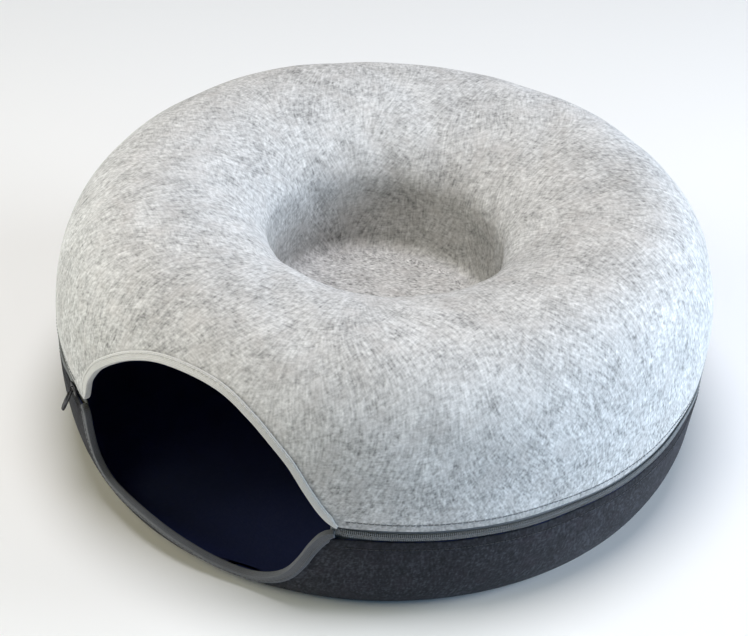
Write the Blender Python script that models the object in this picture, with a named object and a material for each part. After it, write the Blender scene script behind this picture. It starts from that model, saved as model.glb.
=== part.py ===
"""Ring-shaped cat cave of moulded felt.

A light felt top, moulded as one sheet with a well in its middle, is zipped to a charcoal felt dish.
An arched opening, bound with tape, is cut through both at the front.
The origin is the middle of the base, +Z is up, and the opening faces -Y.

Every sheet follows one outline, turned about the Z axis. A place on it is an angle, counted from the
middle of the opening towards +X, and a run: the distance along the outline, upwards from the base's rim.
"""

import math

import bmesh
import bpy
import numpy as np
from mathutils import Matrix, Vector

# Outline of the felt, outer surface, in metres
RADIUS = 0.250
BASE_RADIUS = 0.2256
WAIST_HEIGHT = 0.0999
SIDE_POWER = 2.10
CROWN_RADIUS = 0.1780
CROWN_HEIGHT = 0.1999
SHOULDER_POWER = 2.37
THROAT_RADIUS = 0.0940
THROAT_HEIGHT = 0.1491
LIP_POWER = 1.87
WELL_RADIUS = 0.0912
WELL_FLOOR = 0.0901
WELL_CORNER = 0.010
WELL_LEAN = (-0.069, -0.046)

# Felt
FELT = 0.0045
FELT_AT_EDGE = 0.0028
PRESSED_WIDTH = 0.011
PRESSED_BLEND = 0.009
CLEAR = 0.0003

# Seam with the zip
SEAM_HEIGHT = 0.0870
SEAM_RISE = (-0.0405, 0.0103)
RIM_TO_SEAM = 0.0052
TAPE_HALF = 0.0120
TAPE_THICK = 0.0009
COIL_HALF = 0.0028
COIL_DEPTH = (0.0010, 0.0028)
COIL_ROUND = 0.0005
ZIP_SPLIT = 0.0016
ZIP_END = 26.8

# Opening, from one corner to the other: angle in degrees and height over the seam in m
ARCH = (
    (-28.0, 0.0058),
    (-26.8, 0.0080),
    (-25.6, 0.0113),
    (-24.2, 0.0185),
    (-22.1, 0.0326),
    (-19.3, 0.0506),
    (-14.9, 0.0674),
    (-11.3, 0.0773),
    (-7.9, 0.0839),
    (-4.4, 0.0878),
    (0.0, 0.0898),
    (4.4, 0.0892),
    (7.9, 0.0860),
    (11.3, 0.0794),
    (14.9, 0.0692),
    (19.3, 0.0514),
    (22.1, 0.0328),
    (24.2, 0.0185),
    (25.6, 0.0113),
    (26.8, 0.0080),
    (28.0, 0.0058),
)
SCOOP = (
    (-26.5, -0.0018),
    (-25.4, -0.0034),
    (-24.9, -0.0100),
    (-24.7, -0.0260),
    (-23.6, -0.0450),
    (-20.7, -0.0570),
    (-15.4, -0.0590),
    (-9.8, -0.0605),
    (-5.0, -0.0632),
    (0.0, -0.0662),
    (4.1, -0.0692),
    (8.2, -0.0707),
    (11.8, -0.0695),
    (15.7, -0.0615),
    (18.6, -0.0505),
    (20.9, -0.0352),
    (22.7, -0.0201),
    (24.3, -0.0080),
    (25.4, -0.0034),
    (26.5, -0.0018),
)
ARCH_END = 28.0

# Tape bound over the cut edges
BINDING = 0.0009
ARCH_FLAP = 0.0055
SCOOP_FLAP = 0.0065
ARCH_BINDING_END = 25.7
SCOOP_BINDING_END = 26.3

# Slider and its pull
SLIDER_ANGLE = -30.3
SLIDER_HALF_ANGLE = 1.6
SLIDER_LENGTH = 0.0120
SLIDER_WIDTH = 0.0088
PLATE = 0.0013
PLATE_ROUND = 0.0004
NECK = (0.0022, 0.0012)
NECK_AHEAD = 0.0048
BAIL_RISE = 0.0033
BAIL_BAR = 0.0011
BAIL_SPAN = 0.0056
BAIL_DEPTH = 0.0014
PULL_LENGTH = 0.0190
PULL_WIDTH = 0.0056
PULL_THICK = 0.0011
PULL_EYE = (0.0034, 0.0046)
PULL_BAR = 0.0011
PULL_ROUND = 0.0003
PULL_TILT = 19.0

# Fineness of the solids
CURVE_STEPS = 60
CORNER_STEPS = 9
EDGE_STEPS = 12
DIRECTION_REACH = 0.004
ARCH_COLUMNS = 31
REST_COLUMNS = 40
FINE_STEP = 0.002
SHARP_ANGLE = 40.0
# Rows of the shells: shares of the way from the free edge, and distances along the outline
TOP_WALL_ROWS = (0.0, 0.03, 0.07, 0.13, 0.22, 0.34, 0.48, 0.63, 0.77, 0.89)
LIP_ROWS = 7
WELL_FOOT_ROWS = (-0.006, 0.002, 0.012)
SIDE_ROWS = (0.0, 0.10, 0.24, 0.45, 0.72)
BASE_ROWS = (0.008, 0.002, -0.006, -0.020)


def quarter(start, end, power, upright_first):
    """A quarter of a superellipse from start to end, as rows of radius and height."""
    turn = np.linspace(0.0, math.pi / 2, CURVE_STEPS)
    near = np.cos(turn) ** (2 / power)
    far = np.sin(turn) ** (2 / power)
    if upright_first:
        radius = end[0] + (start[0] - end[0]) * near
        height = start[1] + (end[1] - start[1]) * far
    else:
        radius = start[0] + (end[0] - start[0]) * far
        height = end[1] + (start[1] - end[1]) * near
    return np.column_stack([radius, height])


def well_corner():
    """The rounded foot of the well's wall, and the well's floor up to its middle."""
    turn = np.linspace(0.0, math.pi / 2, CORNER_STEPS)
    radius = WELL_RADIUS - WELL_CORNER * (1 - np.cos(turn))
    height = WELL_FLOOR + WELL_CORNER * (1 - np.sin(turn))
    return np.vstack([np.column_stack([radius, height]), [0.0, WELL_FLOOR]])


class Outline:
    """The felt's outline from the middle of the base to the middle of the well's floor."""

    def __init__(self):
        waist = (RADIUS, WAIST_HEIGHT)
        crown = (CROWN_RADIUS, CROWN_HEIGHT)
        side = quarter((BASE_RADIUS, 0.0), waist, SIDE_POWER, False)
        shoulder = quarter(waist, crown, SHOULDER_POWER, True)
        lip = quarter(crown, (THROAT_RADIUS, THROAT_HEIGHT), LIP_POWER, False)
        self.line = np.vstack([[0.0, 0.0], side, shoulder[1:], lip[1:], well_corner()])
        lengths = np.hypot(*np.diff(self.line, axis=0).T)
        self.run = np.concatenate([[0.0], np.cumsum(lengths)]) - BASE_RADIUS
        waist_row = CURVE_STEPS
        self.side_run = self.run[1 : waist_row + 1]
        self.side_height = self.line[1 : waist_row + 1, 1]
        self.waist = self.run[waist_row]
        self.crown = self.run[2 * waist_row - 1]
        self.throat = self.run[3 * waist_row - 2]
        self.end = self.run[-1]

    def at(self, run):
        """Radius and height at a run."""
        radius = np.interp(run, self.run, self.line[:, 0])
        height = np.interp(run, self.run, self.line[:, 1])
        return radius, height

    def outward(self, run):
        """The outward direction at a run, smoothed over the rounded corners."""
        before = self.at(np.maximum(run - DIRECTION_REACH, -BASE_RADIUS))
        after = self.at(np.minimum(run + DIRECTION_REACH, self.end))
        along_radius = after[0] - before[0]
        along_height = after[1] - before[1]
        length = np.hypot(along_radius, along_height)
        return along_height / length, -along_radius / length


OUTLINE = Outline()


def smooth(share):
    """0 to 1 with a level start and end."""
    share = np.clip(share, 0.0, 1.0)
    return share * share * (3 - 2 * share)


def lean(x, y, run):
    """How far the soft well has settled to one side, as a rise in height."""
    start = 0.5 * (OUTLINE.waist + OUTLINE.crown)
    share = smooth((run - start) / (OUTLINE.throat - start))
    return (WELL_LEAN[0] * x + WELL_LEAN[1] * y) * share


def place(angle, run, depth=0.0):
    """The point at a depth under the felt's outer surface; angle in radians. Arrays are allowed."""
    radius, height = OUTLINE.at(run)
    out_radius, out_height = OUTLINE.outward(run)
    radius = radius - out_radius * depth
    height = height - out_height * depth
    height = np.where(depth > 0, np.maximum(height, np.minimum(depth, FELT)), height)
    x = radius * np.sin(angle)
    y = -radius * np.cos(angle)
    return np.stack([x, y, height + lean(x, y, run)], axis=-1)


def seam_run(angle):
    """Run of the seam's middle line, which climbs a little towards one side."""
    x = RADIUS * np.sin(angle)
    y = -RADIUS * np.cos(angle)
    height = SEAM_HEIGHT + SEAM_RISE[0] * x + SEAM_RISE[1] * y
    return np.interp(height, OUTLINE.side_height, OUTLINE.side_run)


def smooth_curve(points, steps):
    """A Catmull-Rom curve through the points."""
    points = np.asarray(points, dtype=float)
    padded = np.vstack([2 * points[0] - points[1], points, 2 * points[-1] - points[-2]])
    share = np.linspace(0.0, 1.0, steps, endpoint=False)[:, None]
    pieces = []
    for a, b, c, d in zip(padded, padded[1:], padded[2:], padded[3:]):
        pieces.append(
            0.5
            * (
                2 * b
                + (c - a) * share
                + (2 * a - 5 * b + 4 * c - d) * share**2
                + (3 * b - a - 3 * c + d) * share**3
            )
        )
    return np.vstack([*pieces, points[-1:]])


def opening_edge(outline):
    """An opening's edge, as dense rows of angle in radians and run over the seam."""
    return smooth_curve([(math.radians(angle), height) for angle, height in outline], EDGE_STEPS)


ARCH_EDGE = opening_edge(ARCH)
SCOOP_EDGE = opening_edge(SCOOP)


def spread(edge, count):
    """Points at equal distances along an edge."""
    flat = edge * (RADIUS, 1.0)
    length = np.concatenate([[0.0], np.cumsum(np.hypot(*np.diff(flat, axis=0).T))])
    at = np.linspace(0.0, length[-1], count)
    return np.column_stack([np.interp(at, length, edge[:, 0]), np.interp(at, length, edge[:, 1])])


def rest_angles():
    """Column angles behind the opening, shared by felt, tapes and coils, with the slider's own columns."""
    even = np.linspace(ARCH_END, 360 - ARCH_END, REST_COLUMNS)
    middle = 360 + SLIDER_ANGLE
    slider = [middle - SLIDER_HALF_ANGLE, middle, middle + SLIDER_HALF_ANGLE]
    clear = even[(even < slider[0] - 1) | (even > slider[-1] + 0.05)]
    return np.radians(np.sort(np.concatenate([clear, slider])))


REST = rest_angles()


def front_columns(edge):
    """Points along an opening's edge, where the shell's close columns start."""
    front = spread(edge, ARCH_COLUMNS)
    return front[np.abs(front[:, 0]) < REST[0] - 0.01]


def felt_columns(edge):
    """Angles of a shell's columns: close along the opening's edge, wider behind it."""
    return np.concatenate([front_columns(edge)[:, 0], REST])


def rim_run(angle, edge, side):
    """Run of a shell's free edge: along the seam, and along the opening at the front."""
    turned = np.where(angle > math.pi, angle - 2 * math.pi, angle)
    cut = np.interp(turned, edge[:, 0], edge[:, 1], left=0.0, right=0.0)
    if side > 0:
        return seam_run(angle) + np.maximum(cut, RIM_TO_SEAM)
    return seam_run(angle) + np.minimum(cut, -RIM_TO_SEAM)


def felt_thickness(angle, run, edge, side):
    """Felt is pressed thinner where tape is sewn along its free edge."""
    fine = np.arange(-math.pi, math.pi, FINE_STEP / RADIUS)
    line = np.column_stack([fine * RADIUS, rim_run(fine, edge, side)])
    turned = np.where(angle > math.pi, angle - 2 * math.pi, angle)
    flat = np.stack(np.broadcast_arrays(turned * RADIUS, run), axis=-1)
    gap = np.linalg.norm(flat[..., None, :] - line, axis=-1).min(axis=-1)
    share = smooth((gap - PRESSED_WIDTH) / PRESSED_BLEND)
    return FELT_AT_EDGE + (FELT - FELT_AT_EDGE) * share


def material(name, colour, roughness, metallic=0.0):
    """A plain Principled material."""
    made = bpy.data.materials.new(name)
    made.use_nodes = True
    shader = made.node_tree.nodes["Principled BSDF"]
    shader.inputs["Base Color"].default_value = (*colour, 1.0)
    shader.inputs["Roughness"].default_value = roughness
    shader.inputs["Metallic"].default_value = metallic
    return made


def add_object(name, mesh_data, finish):
    """Link a finished bmesh as an object, with its faces turned outwards."""
    bmesh.ops.recalc_face_normals(mesh_data, faces=mesh_data.faces)
    mesh = bpy.data.meshes.new(name)
    mesh_data.to_mesh(mesh)
    mesh_data.free()
    mesh.materials.append(finish)
    mesh.shade_smooth()
    mesh.set_sharp_from_angle(angle=math.radians(SHARP_ANGLE))
    made = bpy.data.objects.new(name, mesh)
    bpy.context.scene.collection.objects.link(made)
    return made


def felt_shell(name, angles, runs, edge, side, finish):
    """A moulded sheet: rows from its free edge to the pole where its outline ends."""
    thickness = felt_thickness(angles, runs, edge, side)
    outer = place(angles, runs)
    inner = place(angles, runs, thickness)
    pole = OUTLINE.end if side > 0 else -BASE_RADIUS
    data = bmesh.new()
    skins = []
    for grid, depth in ((outer, 0.0), (inner, FELT)):
        rows = [[data.verts.new(point) for point in row] for row in grid]
        middle = data.verts.new(place(0.0, pole, depth))
        skins.append(rows)
        for low, high in zip(rows, rows[1:]):
            for k in range(len(low)):
                data.faces.new((low[k - 1], low[k], high[k], high[k - 1]))
        for k in range(len(rows[-1])):
            data.faces.new((rows[-1][k - 1], rows[-1][k], middle))
    for k in range(len(angles)):
        data.faces.new((skins[0][0][k], skins[0][0][k - 1], skins[1][0][k - 1], skins[1][0][k]))
    return add_object(name, data, finish)


def make_top_shell(finish):
    """Outer wall, crown, well wall and well floor in one sheet."""
    angles = felt_columns(ARCH_EDGE)
    low = rim_run(angles, ARCH_EDGE, 1)
    wall = low + np.array(TOP_WALL_ROWS)[:, None] * (OUTLINE.crown - low)
    lip = np.linspace(OUTLINE.crown, OUTLINE.throat, LIP_ROWS)
    foot = OUTLINE.end - WELL_RADIUS + np.array(WELL_FOOT_ROWS)
    floor = [OUTLINE.end - WELL_RADIUS / 2]
    rest = np.concatenate([lip, foot, floor])[:, None] + np.zeros_like(angles)
    return felt_shell("top_shell", angles, np.vstack([wall, rest]), ARCH_EDGE, 1, finish)


def make_bottom_shell(finish):
    """Upright side and flat base in one sheet."""
    angles = felt_columns(SCOOP_EDGE)
    high = rim_run(angles, SCOOP_EDGE, -1)
    wall = high - np.array(SIDE_ROWS)[:, None] * (high - BASE_ROWS[0])
    rest = np.array([*BASE_ROWS, -BASE_RADIUS / 2])[:, None] + np.zeros_like(angles)
    return felt_shell("bottom_shell", angles, np.vstack([wall, rest]), SCOOP_EDGE, -1, finish)


def sweep(name, sections, finish):
    """A bar through the cross-sections, closed at both ends."""
    data = bmesh.new()
    rings = [[data.verts.new(point) for point in section] for section in sections]
    for a, b in zip(rings, rings[1:]):
        for k in range(len(a)):
            data.faces.new((a[k - 1], a[k], b[k], b[k - 1]))
    data.faces.new(rings[0])
    data.faces.new(rings[-1])
    return add_object(name, data, finish)


def make_binding(name, edge, side, flap, end_angle, finish):
    """Tape folded over a cut edge: down the outside, across the edge and down the inside."""
    path = front_columns(edge)
    path = path[np.abs(path[:, 0]) < math.radians(end_angle)]
    flat = path * (RADIUS, 1.0)
    along = np.gradient(flat, axis=0)
    along /= np.linalg.norm(along, axis=1, keepdims=True)
    into_felt = side * np.column_stack([-along[:, 1], along[:, 0]])
    near = CLEAR
    far = CLEAR + BINDING
    fold = 0.6 * BINDING
    inside = FELT_AT_EDGE
    profile = (
        (flap, -near),
        (flap, -far),
        (-near - fold, -far),
        (-far, -near + fold),
        (-far, inside + near - fold),
        (-near - fold, inside + far),
        (flap, inside + far),
        (flap, inside + near),
        (-near, inside + near),
        (-near, -near),
    )
    sections = []
    for spot, step in zip(path, into_felt):
        section = []
        for across, depth in profile:
            angle = spot[0] + across * step[0] / RADIUS
            run = seam_run(angle) + spot[1] + across * step[1]
            section.append(place(angle, run, np.array(depth)))
        sections.append(section)
    return sweep(name, sections, finish)


def make_tape(name, side, finish):
    """Zip tape behind a felt rim; the two tapes part where the slider has opened them."""
    ends = np.radians([ZIP_END, 360 - ZIP_END])
    angles = np.concatenate([ends[:1], REST, ends[1:]])
    middle = math.radians(360 + SLIDER_ANGLE)
    parting = np.clip((angles - middle) / math.radians(SLIDER_HALF_ANGLE), 0.0, 1.0)
    inner = CLEAR / 2 + parting * ZIP_SPLIT
    near = FELT_AT_EDGE + CLEAR
    far = near + TAPE_THICK
    sections = []
    for angle, start in zip(angles, inner):
        seam = seam_run(angle)
        corners = ((start, near), (TAPE_HALF, near), (TAPE_HALF, far), (start, far))
        sections.append([place(angle, seam + side * s, np.array(d)) for s, d in corners])
    return sweep(name, sections, finish)


def make_coil(name, side, finish):
    """One row of closed teeth as a plain bar; it ends inside the slider."""
    start = math.radians(ZIP_END + 0.3)
    stop = math.radians(360 + SLIDER_ANGLE)
    angles = np.concatenate([[start], REST[REST < stop - 1e-6], [stop]])
    near, far = COIL_DEPTH
    inner = CLEAR / 2
    section = (
        (inner, near + COIL_ROUND),
        (inner + COIL_ROUND, near),
        (COIL_HALF - COIL_ROUND, near),
        (COIL_HALF, near + COIL_ROUND),
        (COIL_HALF, far),
        (inner, far),
    )
    sections = []
    for angle in angles:
        seam = seam_run(angle)
        sections.append([place(angle, seam + side * s, np.array(d)) for s, d in section])
    return sweep(name, sections, finish)


def slider_frame():
    """Axes at the slider: X along the zip, Y up the wall, Z outwards."""
    angle = math.radians(SLIDER_ANGLE)
    run = seam_run(angle)
    origin = Vector(place(angle, run))
    along = Vector((math.cos(angle), math.sin(angle), 0.0))
    up = (Vector(place(angle, run + 0.002)) - Vector(place(angle, run - 0.002))).normalized()
    outward = along.cross(up).normalized()
    turn = Matrix((along, up, outward)).transposed()
    return Matrix.Translation(origin) @ turn.to_4x4()


def block(name, size, centre, frame, finish=None, bevel=0.0):
    """A block in the slider's axes, with its edges rounded over."""
    data = bmesh.new()
    bmesh.ops.create_cube(data, size=1.0)
    for vert in data.verts:
        vert.co = Vector([c * s for c, s in zip(vert.co, size)]) + Vector(centre)
    if bevel:
        bmesh.ops.bevel(data, geom=data.edges[:], offset=bevel, segments=1, affect="EDGES")
    made = add_object(name, data, finish)
    made.matrix_world = frame
    return made


def combine(target, tool, operation):
    """Join a tool to the target, or cut it out; the tool itself is only a guide."""
    tool.hide_render = True
    tool.display_type = "WIRE"
    step = target.modifiers.new(tool.name, "BOOLEAN")
    step.operation = operation
    step.object = tool


def make_slider(frame, finish):
    """Two plates with a neck between them, and a bail across the outer one."""
    top = COIL_DEPTH[0] - CLEAR
    tape_back = FELT_AT_EDGE + CLEAR + TAPE_THICK
    plate_mid = -top + PLATE / 2
    size = (SLIDER_LENGTH, SLIDER_WIDTH, PLATE)
    slider = block("zip_slider", size, (0.0, 0.0, plate_mid), frame, finish, PLATE_ROUND)
    back_mid = -tape_back - CLEAR - PLATE / 2
    back = block("slider_back", size, (0.0, 0.0, back_mid), frame, finish, PLATE_ROUND)
    neck_size = (*NECK, plate_mid - back_mid)
    neck_spot = (NECK_AHEAD, 0.0, (plate_mid + back_mid) / 2)
    neck = block("slider_neck", neck_size, neck_spot, frame, finish)
    rise = BAIL_RISE + PLATE / 2
    bail_mid = plate_mid + rise / 2
    bail_size = (BAIL_DEPTH, BAIL_SPAN, rise)
    bail = block("slider_bail", bail_size, (0.0, 0.0, bail_mid), frame, finish)
    eye_height = BAIL_RISE - BAIL_BAR
    eye_mid = -top + PLATE + eye_height / 2
    eye_size = (3 * BAIL_DEPTH, BAIL_SPAN - 2 * BAIL_BAR, eye_height)
    eye = block("bail_eye", eye_size, (0.0, 0.0, eye_mid), frame, finish)
    combine(slider, back, "UNION")
    combine(slider, neck, "UNION")
    combine(slider, bail, "UNION")
    combine(slider, eye, "DIFFERENCE")
    return slider


def make_pull(frame, finish):
    """A flat tab that hangs from the bail by its eye, a little away from the wall."""
    plate_face = PLATE - COIL_DEPTH[0] + CLEAR
    eye_middle = plate_face + (BAIL_RISE - BAIL_BAR) / 2
    hang = Matrix.Translation((0.0, 0.0, eye_middle))
    tilt = Matrix.Rotation(math.radians(-PULL_TILT), 4, "X")
    pull_frame = frame @ hang @ tilt
    size = (PULL_WIDTH, PULL_LENGTH, PULL_THICK)
    middle = (0.0, PULL_BAR / 2 - PULL_LENGTH / 2, 0.0)
    pull = block("zip_pull", size, middle, pull_frame, finish, PULL_ROUND)
    eye_size = (PULL_EYE[0], PULL_EYE[1], 3 * PULL_THICK)
    eye_spot = (0.0, -PULL_BAR / 2 - PULL_EYE[1] / 2, 0.0)
    eye = block("pull_eye", eye_size, eye_spot, pull_frame, finish)
    combine(pull, eye, "DIFFERENCE")
    return pull


def main():
    for old in list(bpy.data.objects):
        bpy.data.objects.remove(old, do_unlink=True)
    light_felt = material("light_felt", (0.62, 0.62, 0.60), 0.95)
    charcoal_felt = material("charcoal_felt", (0.045, 0.046, 0.055), 0.95)
    light_tape = material("light_tape", (0.60, 0.60, 0.59), 0.85)
    grey_tape = material("grey_tape", (0.11, 0.12, 0.13), 0.80)
    grey_coil = material("grey_coil", (0.17, 0.18, 0.19), 0.45)
    dark_metal = material("dark_metal", (0.035, 0.035, 0.038), 0.40, 0.8)
    make_top_shell(light_felt)
    make_bottom_shell(charcoal_felt)
    make_binding("arch_binding", ARCH_EDGE, 1, ARCH_FLAP, ARCH_BINDING_END, light_tape)
    make_binding("scoop_binding", SCOOP_EDGE, -1, SCOOP_FLAP, SCOOP_BINDING_END, grey_tape)
    for name, side in (("upper", 1), ("lower", -1)):
        make_tape(f"zip_tape_{name}", side, grey_tape)
        make_coil(f"zip_coil_{name}", side, grey_coil)
    frame = slider_frame()
    make_slider(frame, dark_metal)
    make_pull(frame, dark_metal)


main()
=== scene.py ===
"""Looks of the ring-shaped cat cave: two moulded felts, bound edges, and a zip all the way round.

A place on the felt is an angle, counted from the middle of the opening towards +X, and a run: the
distance along the felt's outline, upwards from the base's rim.
"""

from math import copysign, cos, exp, pi, radians, sin, tau

import bmesh
import bpy
import numpy as np
from mathutils import Matrix, Vector


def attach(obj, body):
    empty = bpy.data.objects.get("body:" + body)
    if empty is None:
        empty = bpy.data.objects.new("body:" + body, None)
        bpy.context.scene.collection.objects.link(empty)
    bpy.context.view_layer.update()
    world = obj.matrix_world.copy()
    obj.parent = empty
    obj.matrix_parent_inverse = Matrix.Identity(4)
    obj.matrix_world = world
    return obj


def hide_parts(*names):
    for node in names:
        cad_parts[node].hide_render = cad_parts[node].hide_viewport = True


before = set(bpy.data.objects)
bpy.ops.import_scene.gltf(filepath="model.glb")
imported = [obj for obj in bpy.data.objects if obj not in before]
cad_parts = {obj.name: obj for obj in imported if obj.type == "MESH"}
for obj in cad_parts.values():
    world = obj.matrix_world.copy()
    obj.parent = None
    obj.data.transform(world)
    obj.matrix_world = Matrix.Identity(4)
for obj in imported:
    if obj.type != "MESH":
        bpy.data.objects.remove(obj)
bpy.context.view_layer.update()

# Outline of the felt, outer surface, in metres
RADIUS = 0.250
BASE_RADIUS = 0.2256
WAIST_HEIGHT = 0.0999
SIDE_POWER = 2.10
CROWN_RADIUS = 0.1780
CROWN_HEIGHT = 0.1999
SHOULDER_POWER = 2.37
THROAT_RADIUS = 0.0892
THROAT_HEIGHT = 0.1491
LIP_POWER = 1.87
WELL_RADIUS = 0.0893
WELL_FLOOR = 0.0901
WELL_CORNER = 0.008
WELL_LEAN = (-0.069, -0.046)
CURVE_STEPS = 120
CORNER_STEPS = 15
OUTWARD_REACH = 0.004

# Felt
FELT = 0.0045
FELT_AT_EDGE = 0.0028
PRESSED_WIDTH = 0.011
PRESSED_BLEND = 0.009
EDGE_ROLL = 0.0009
EDGE_BAND = 0.0072
GROOVE_DEPTH = 0.0005
GROOVE_WIDTH = 0.0013
GROOVE_INSIDE = 0.4
ROLL_BLEND = 2.0
CLEAR = 0.0003
# Fibres: their direction on the flat floors and inside which radius; they are shortest low on the wall
FLOOR_GRAIN = (0.35, 0.25, 0.0)
FLOOR_GRAIN_RADIUS = 0.070
FLOOR_GRAIN_BLEND = 0.012
LEAST_LAY = 0.5
LAY_FROM = 0.02
LAY_RISE = 0.12
CROSS_TURN = 1.15
CROSS_LENGTH = 0.8
# Turns of the fibres: size in radians, waves round the ring, radians for each metre of run, phase
LAY_TURNS = (
    (0.40, 3, 9, 0.0),
    (0.35, 8, -31, 1.0),
)
# Soft unevenness: height in m, waves round the ring, waves for each metre of run, phase
WAVES = (
    (0.00060, 2, 1.7, 0.4),
    (0.00055, 3, 3.1, 2.2),
    (0.00045, 5, 4.6, 4.0),
    (0.00035, 9, 8.3, 1.1),
    (0.00025, 14, 13.0, 5.2),
    (0.00018, 23, 21.0, 3.3),
)
WAVES_FROM = 0.004
WAVES_RISE = 0.05
WAVES_LEAST_RADIUS = 0.06

# Mesh of the felts: columns at the opening and behind it, rows by their distance from the rim, and then
# how many rows each part of the outline has
FRONT_COLUMNS = 110
REST_COLUMNS = 190
COLUMN_GAP = 0.003
RIM_ROWS = (0.0, 0.0002, 0.0005, 0.0009, 0.0014, 0.0022, 0.0032, 0.0042, 0.0050, 0.0057, 0.0063, 0.0068)
RIM_ROWS += (0.0073, 0.0080, 0.0095, 0.0120, 0.0155, 0.0195, 0.0240)
UPPER_WALL_ROWS = 34
LIP_ROWS = 32
WELL_WALL_ROWS = 12
FOOT_ROWS = 9
WELL_FLOOR_ROWS = 12
LOWER_WALL_ROWS = 18
BASE_ROWS = 34
# Runs beside a rounded foot: the wall's last row, the foot's first and last, and the floor's first
WELL_FOOT = (-0.009, -0.006, 0.010, 0.015)
BASE_FOOT = (0.012, 0.010, -0.006, -0.011)
POLE_GAP = 0.004
MERGE_DISTANCE = 2e-5
# Fineness of the search for the nearest rim, how far it looks, and what stands for far away
SEARCH_STEPS = 1300
SEARCH_REACH = 0.09
FAR_AWAY = 1.0
# Points on a fine copy of a line that is then divided evenly
FINE_STEPS = 4000
FINE_EDGE_STEPS = 1500

# Seam with the zip
SEAM_HEIGHT = 0.0854
SEAM_RISE = (-0.0405, 0.0103)
RIM_TO_SEAM = 0.0052
TAPE_HALF = 0.0120
TAPE_THICK = 0.0009
COIL_HALF = 0.0028
COIL_DEPTH = (0.0010, 0.0028)
TOOTH_PITCH = 0.00135
TOOTH_WIDTH = 0.00084
TOOTH_HEAD = 1.25
TOOTH_BEND = 0.00012
TOOTH_OVERLAP = 0.0003
TOOTH_TIP = 0.00025
TOOTH_SINK = 0.1
TOOTH_RINGS = 6
TOOTH_SIDES = 8
ZIP_SPLIT = 0.0016
ZIP_ENDS = (26.2, 26.8)
ZIP_STEP = 0.0035
COIL_START = 0.2
TAPE_SHARES = (0.0, 0.12, 0.24, 0.31, 0.38, 0.45, 0.60, 1.0)
# The zip is tucked in at its ends, inside an angle, and bows out past the next two, near its middle
ZIP_TUCK = 0.0013
ZIP_TUCK_ANGLE = 29.0
ZIP_TUCK_BLEND = 1.4
ZIP_BOW = 0.0010
ZIP_BOW_ANGLES = (30.0, 34.0)
ZIP_BOW_BLEND = 4.0
ZIP_BOW_WIDTH = 0.0056
ZIP_BOW_EDGE = 0.0024

# Opening, from one corner to the other: angle in degrees and height over the seam in m
ARCH = (
    (-28.0, 0.0053),
    (-26.6, 0.0055),
    (-25.5, 0.0066),
    (-24.6, 0.0112),
    (-24.1, 0.0185),
    (-23.5, 0.0270),
    (-22.1, 0.0365),
    (-19.3, 0.0522),
    (-14.9, 0.0690),
    (-11.3, 0.0789),
    (-7.9, 0.0855),
    (-4.4, 0.0894),
    (0.0, 0.0914),
    (4.4, 0.0908),
    (7.9, 0.0876),
    (11.3, 0.0810),
    (14.9, 0.0708),
    (19.3, 0.0530),
    (22.1, 0.0344),
    (24.2, 0.0200),
    (25.6, 0.0124),
    (26.8, 0.0080),
    (28.0, 0.0054),
)
SCOOP = (
    (-26.5, -0.0018),
    (-25.4, -0.0030),
    (-24.9, -0.0090),
    (-24.7, -0.0244),
    (-23.6, -0.0434),
    (-20.7, -0.0554),
    (-15.4, -0.0574),
    (-9.8, -0.0589),
    (-5.0, -0.0616),
    (0.0, -0.0646),
    (4.1, -0.0676),
    (8.2, -0.0691),
    (11.8, -0.0679),
    (15.7, -0.0599),
    (18.6, -0.0489),
    (20.9, -0.0336),
    (22.7, -0.0185),
    (24.3, -0.0070),
    (25.4, -0.0022),
    (26.4, -0.0002),
    (27.4, 0.0008),
)
ARCH_END = 28.0
EDGE_STEPS = 24

# Tape bound over the cut edges
BINDING = 0.0009
ARCH_FLAP = 0.0055
SCOOP_FLAP = 0.0065
ARCH_BINDING_ENDS = (-24.9, 27.4)
SCOOP_BINDING_ENDS = (-26.3, 27.0)
# How long a leg tapers at the tape's ends, and the share of its width that is left
INNER_TAPER = (0.014, 0.06)
OUTER_TAPER = (0.010, 0.40)
BINDING_STEP = 0.0011
FOLD_POWER = 2.8
FOLD_STEPS = 13
CAP_BULGE = 0.7
FLAP_SHARES = (1.0, 0.8, 0.62, 0.45, 0.25, 0.08)

# Sewing
STITCH_PITCH = 0.0040
STITCH_LENGTH = 0.0030
STITCH_START = 0.6
THREAD = 0.00032
RIM_STITCHES = 0.0068
RIM_STITCH_DEPTH = 0.0004
BINDING_STITCHES = 0.0040
BINDING_STITCH_DEPTH = -0.0011
UPPER_LIFT = 0.0009
LIFT = 0.0007
# How deep a stitch draws the binding in, over which width, and the binding's long slack waves
PUCKER = 0.00013
PUCKER_WIDTH = 0.002
SLACK = 0.0001
SLACK_LENGTH = 0.041

# Slider and its pull
SLIDER_ANGLE = -30.3
SLIDER_HALF_ANGLE = 1.6
SLIDER_LENGTH = 0.0120
SLIDER_WIDTH = 0.0088
SLIDER_POWERS = (0.55, 0.55)
# Its waist: the share that is taken off, where along it, and over which length
SLIDER_WAIST = (0.16, -0.0015, 0.0024)
PLATE = 0.0013
PLATE_EASE = 0.90
PLATE_FLAT = 0.0003
NECK = (0.0022, 0.0012)
NECK_AHEAD = 0.0048
NECK_BEVEL = 0.0003
BAIL_RISE = 0.0033
BAIL_BAR = 0.0011
BAIL_HALF_SPAN = 0.00235
BAIL_POWER = 0.7
BAIL_STEPS = 15
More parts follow.
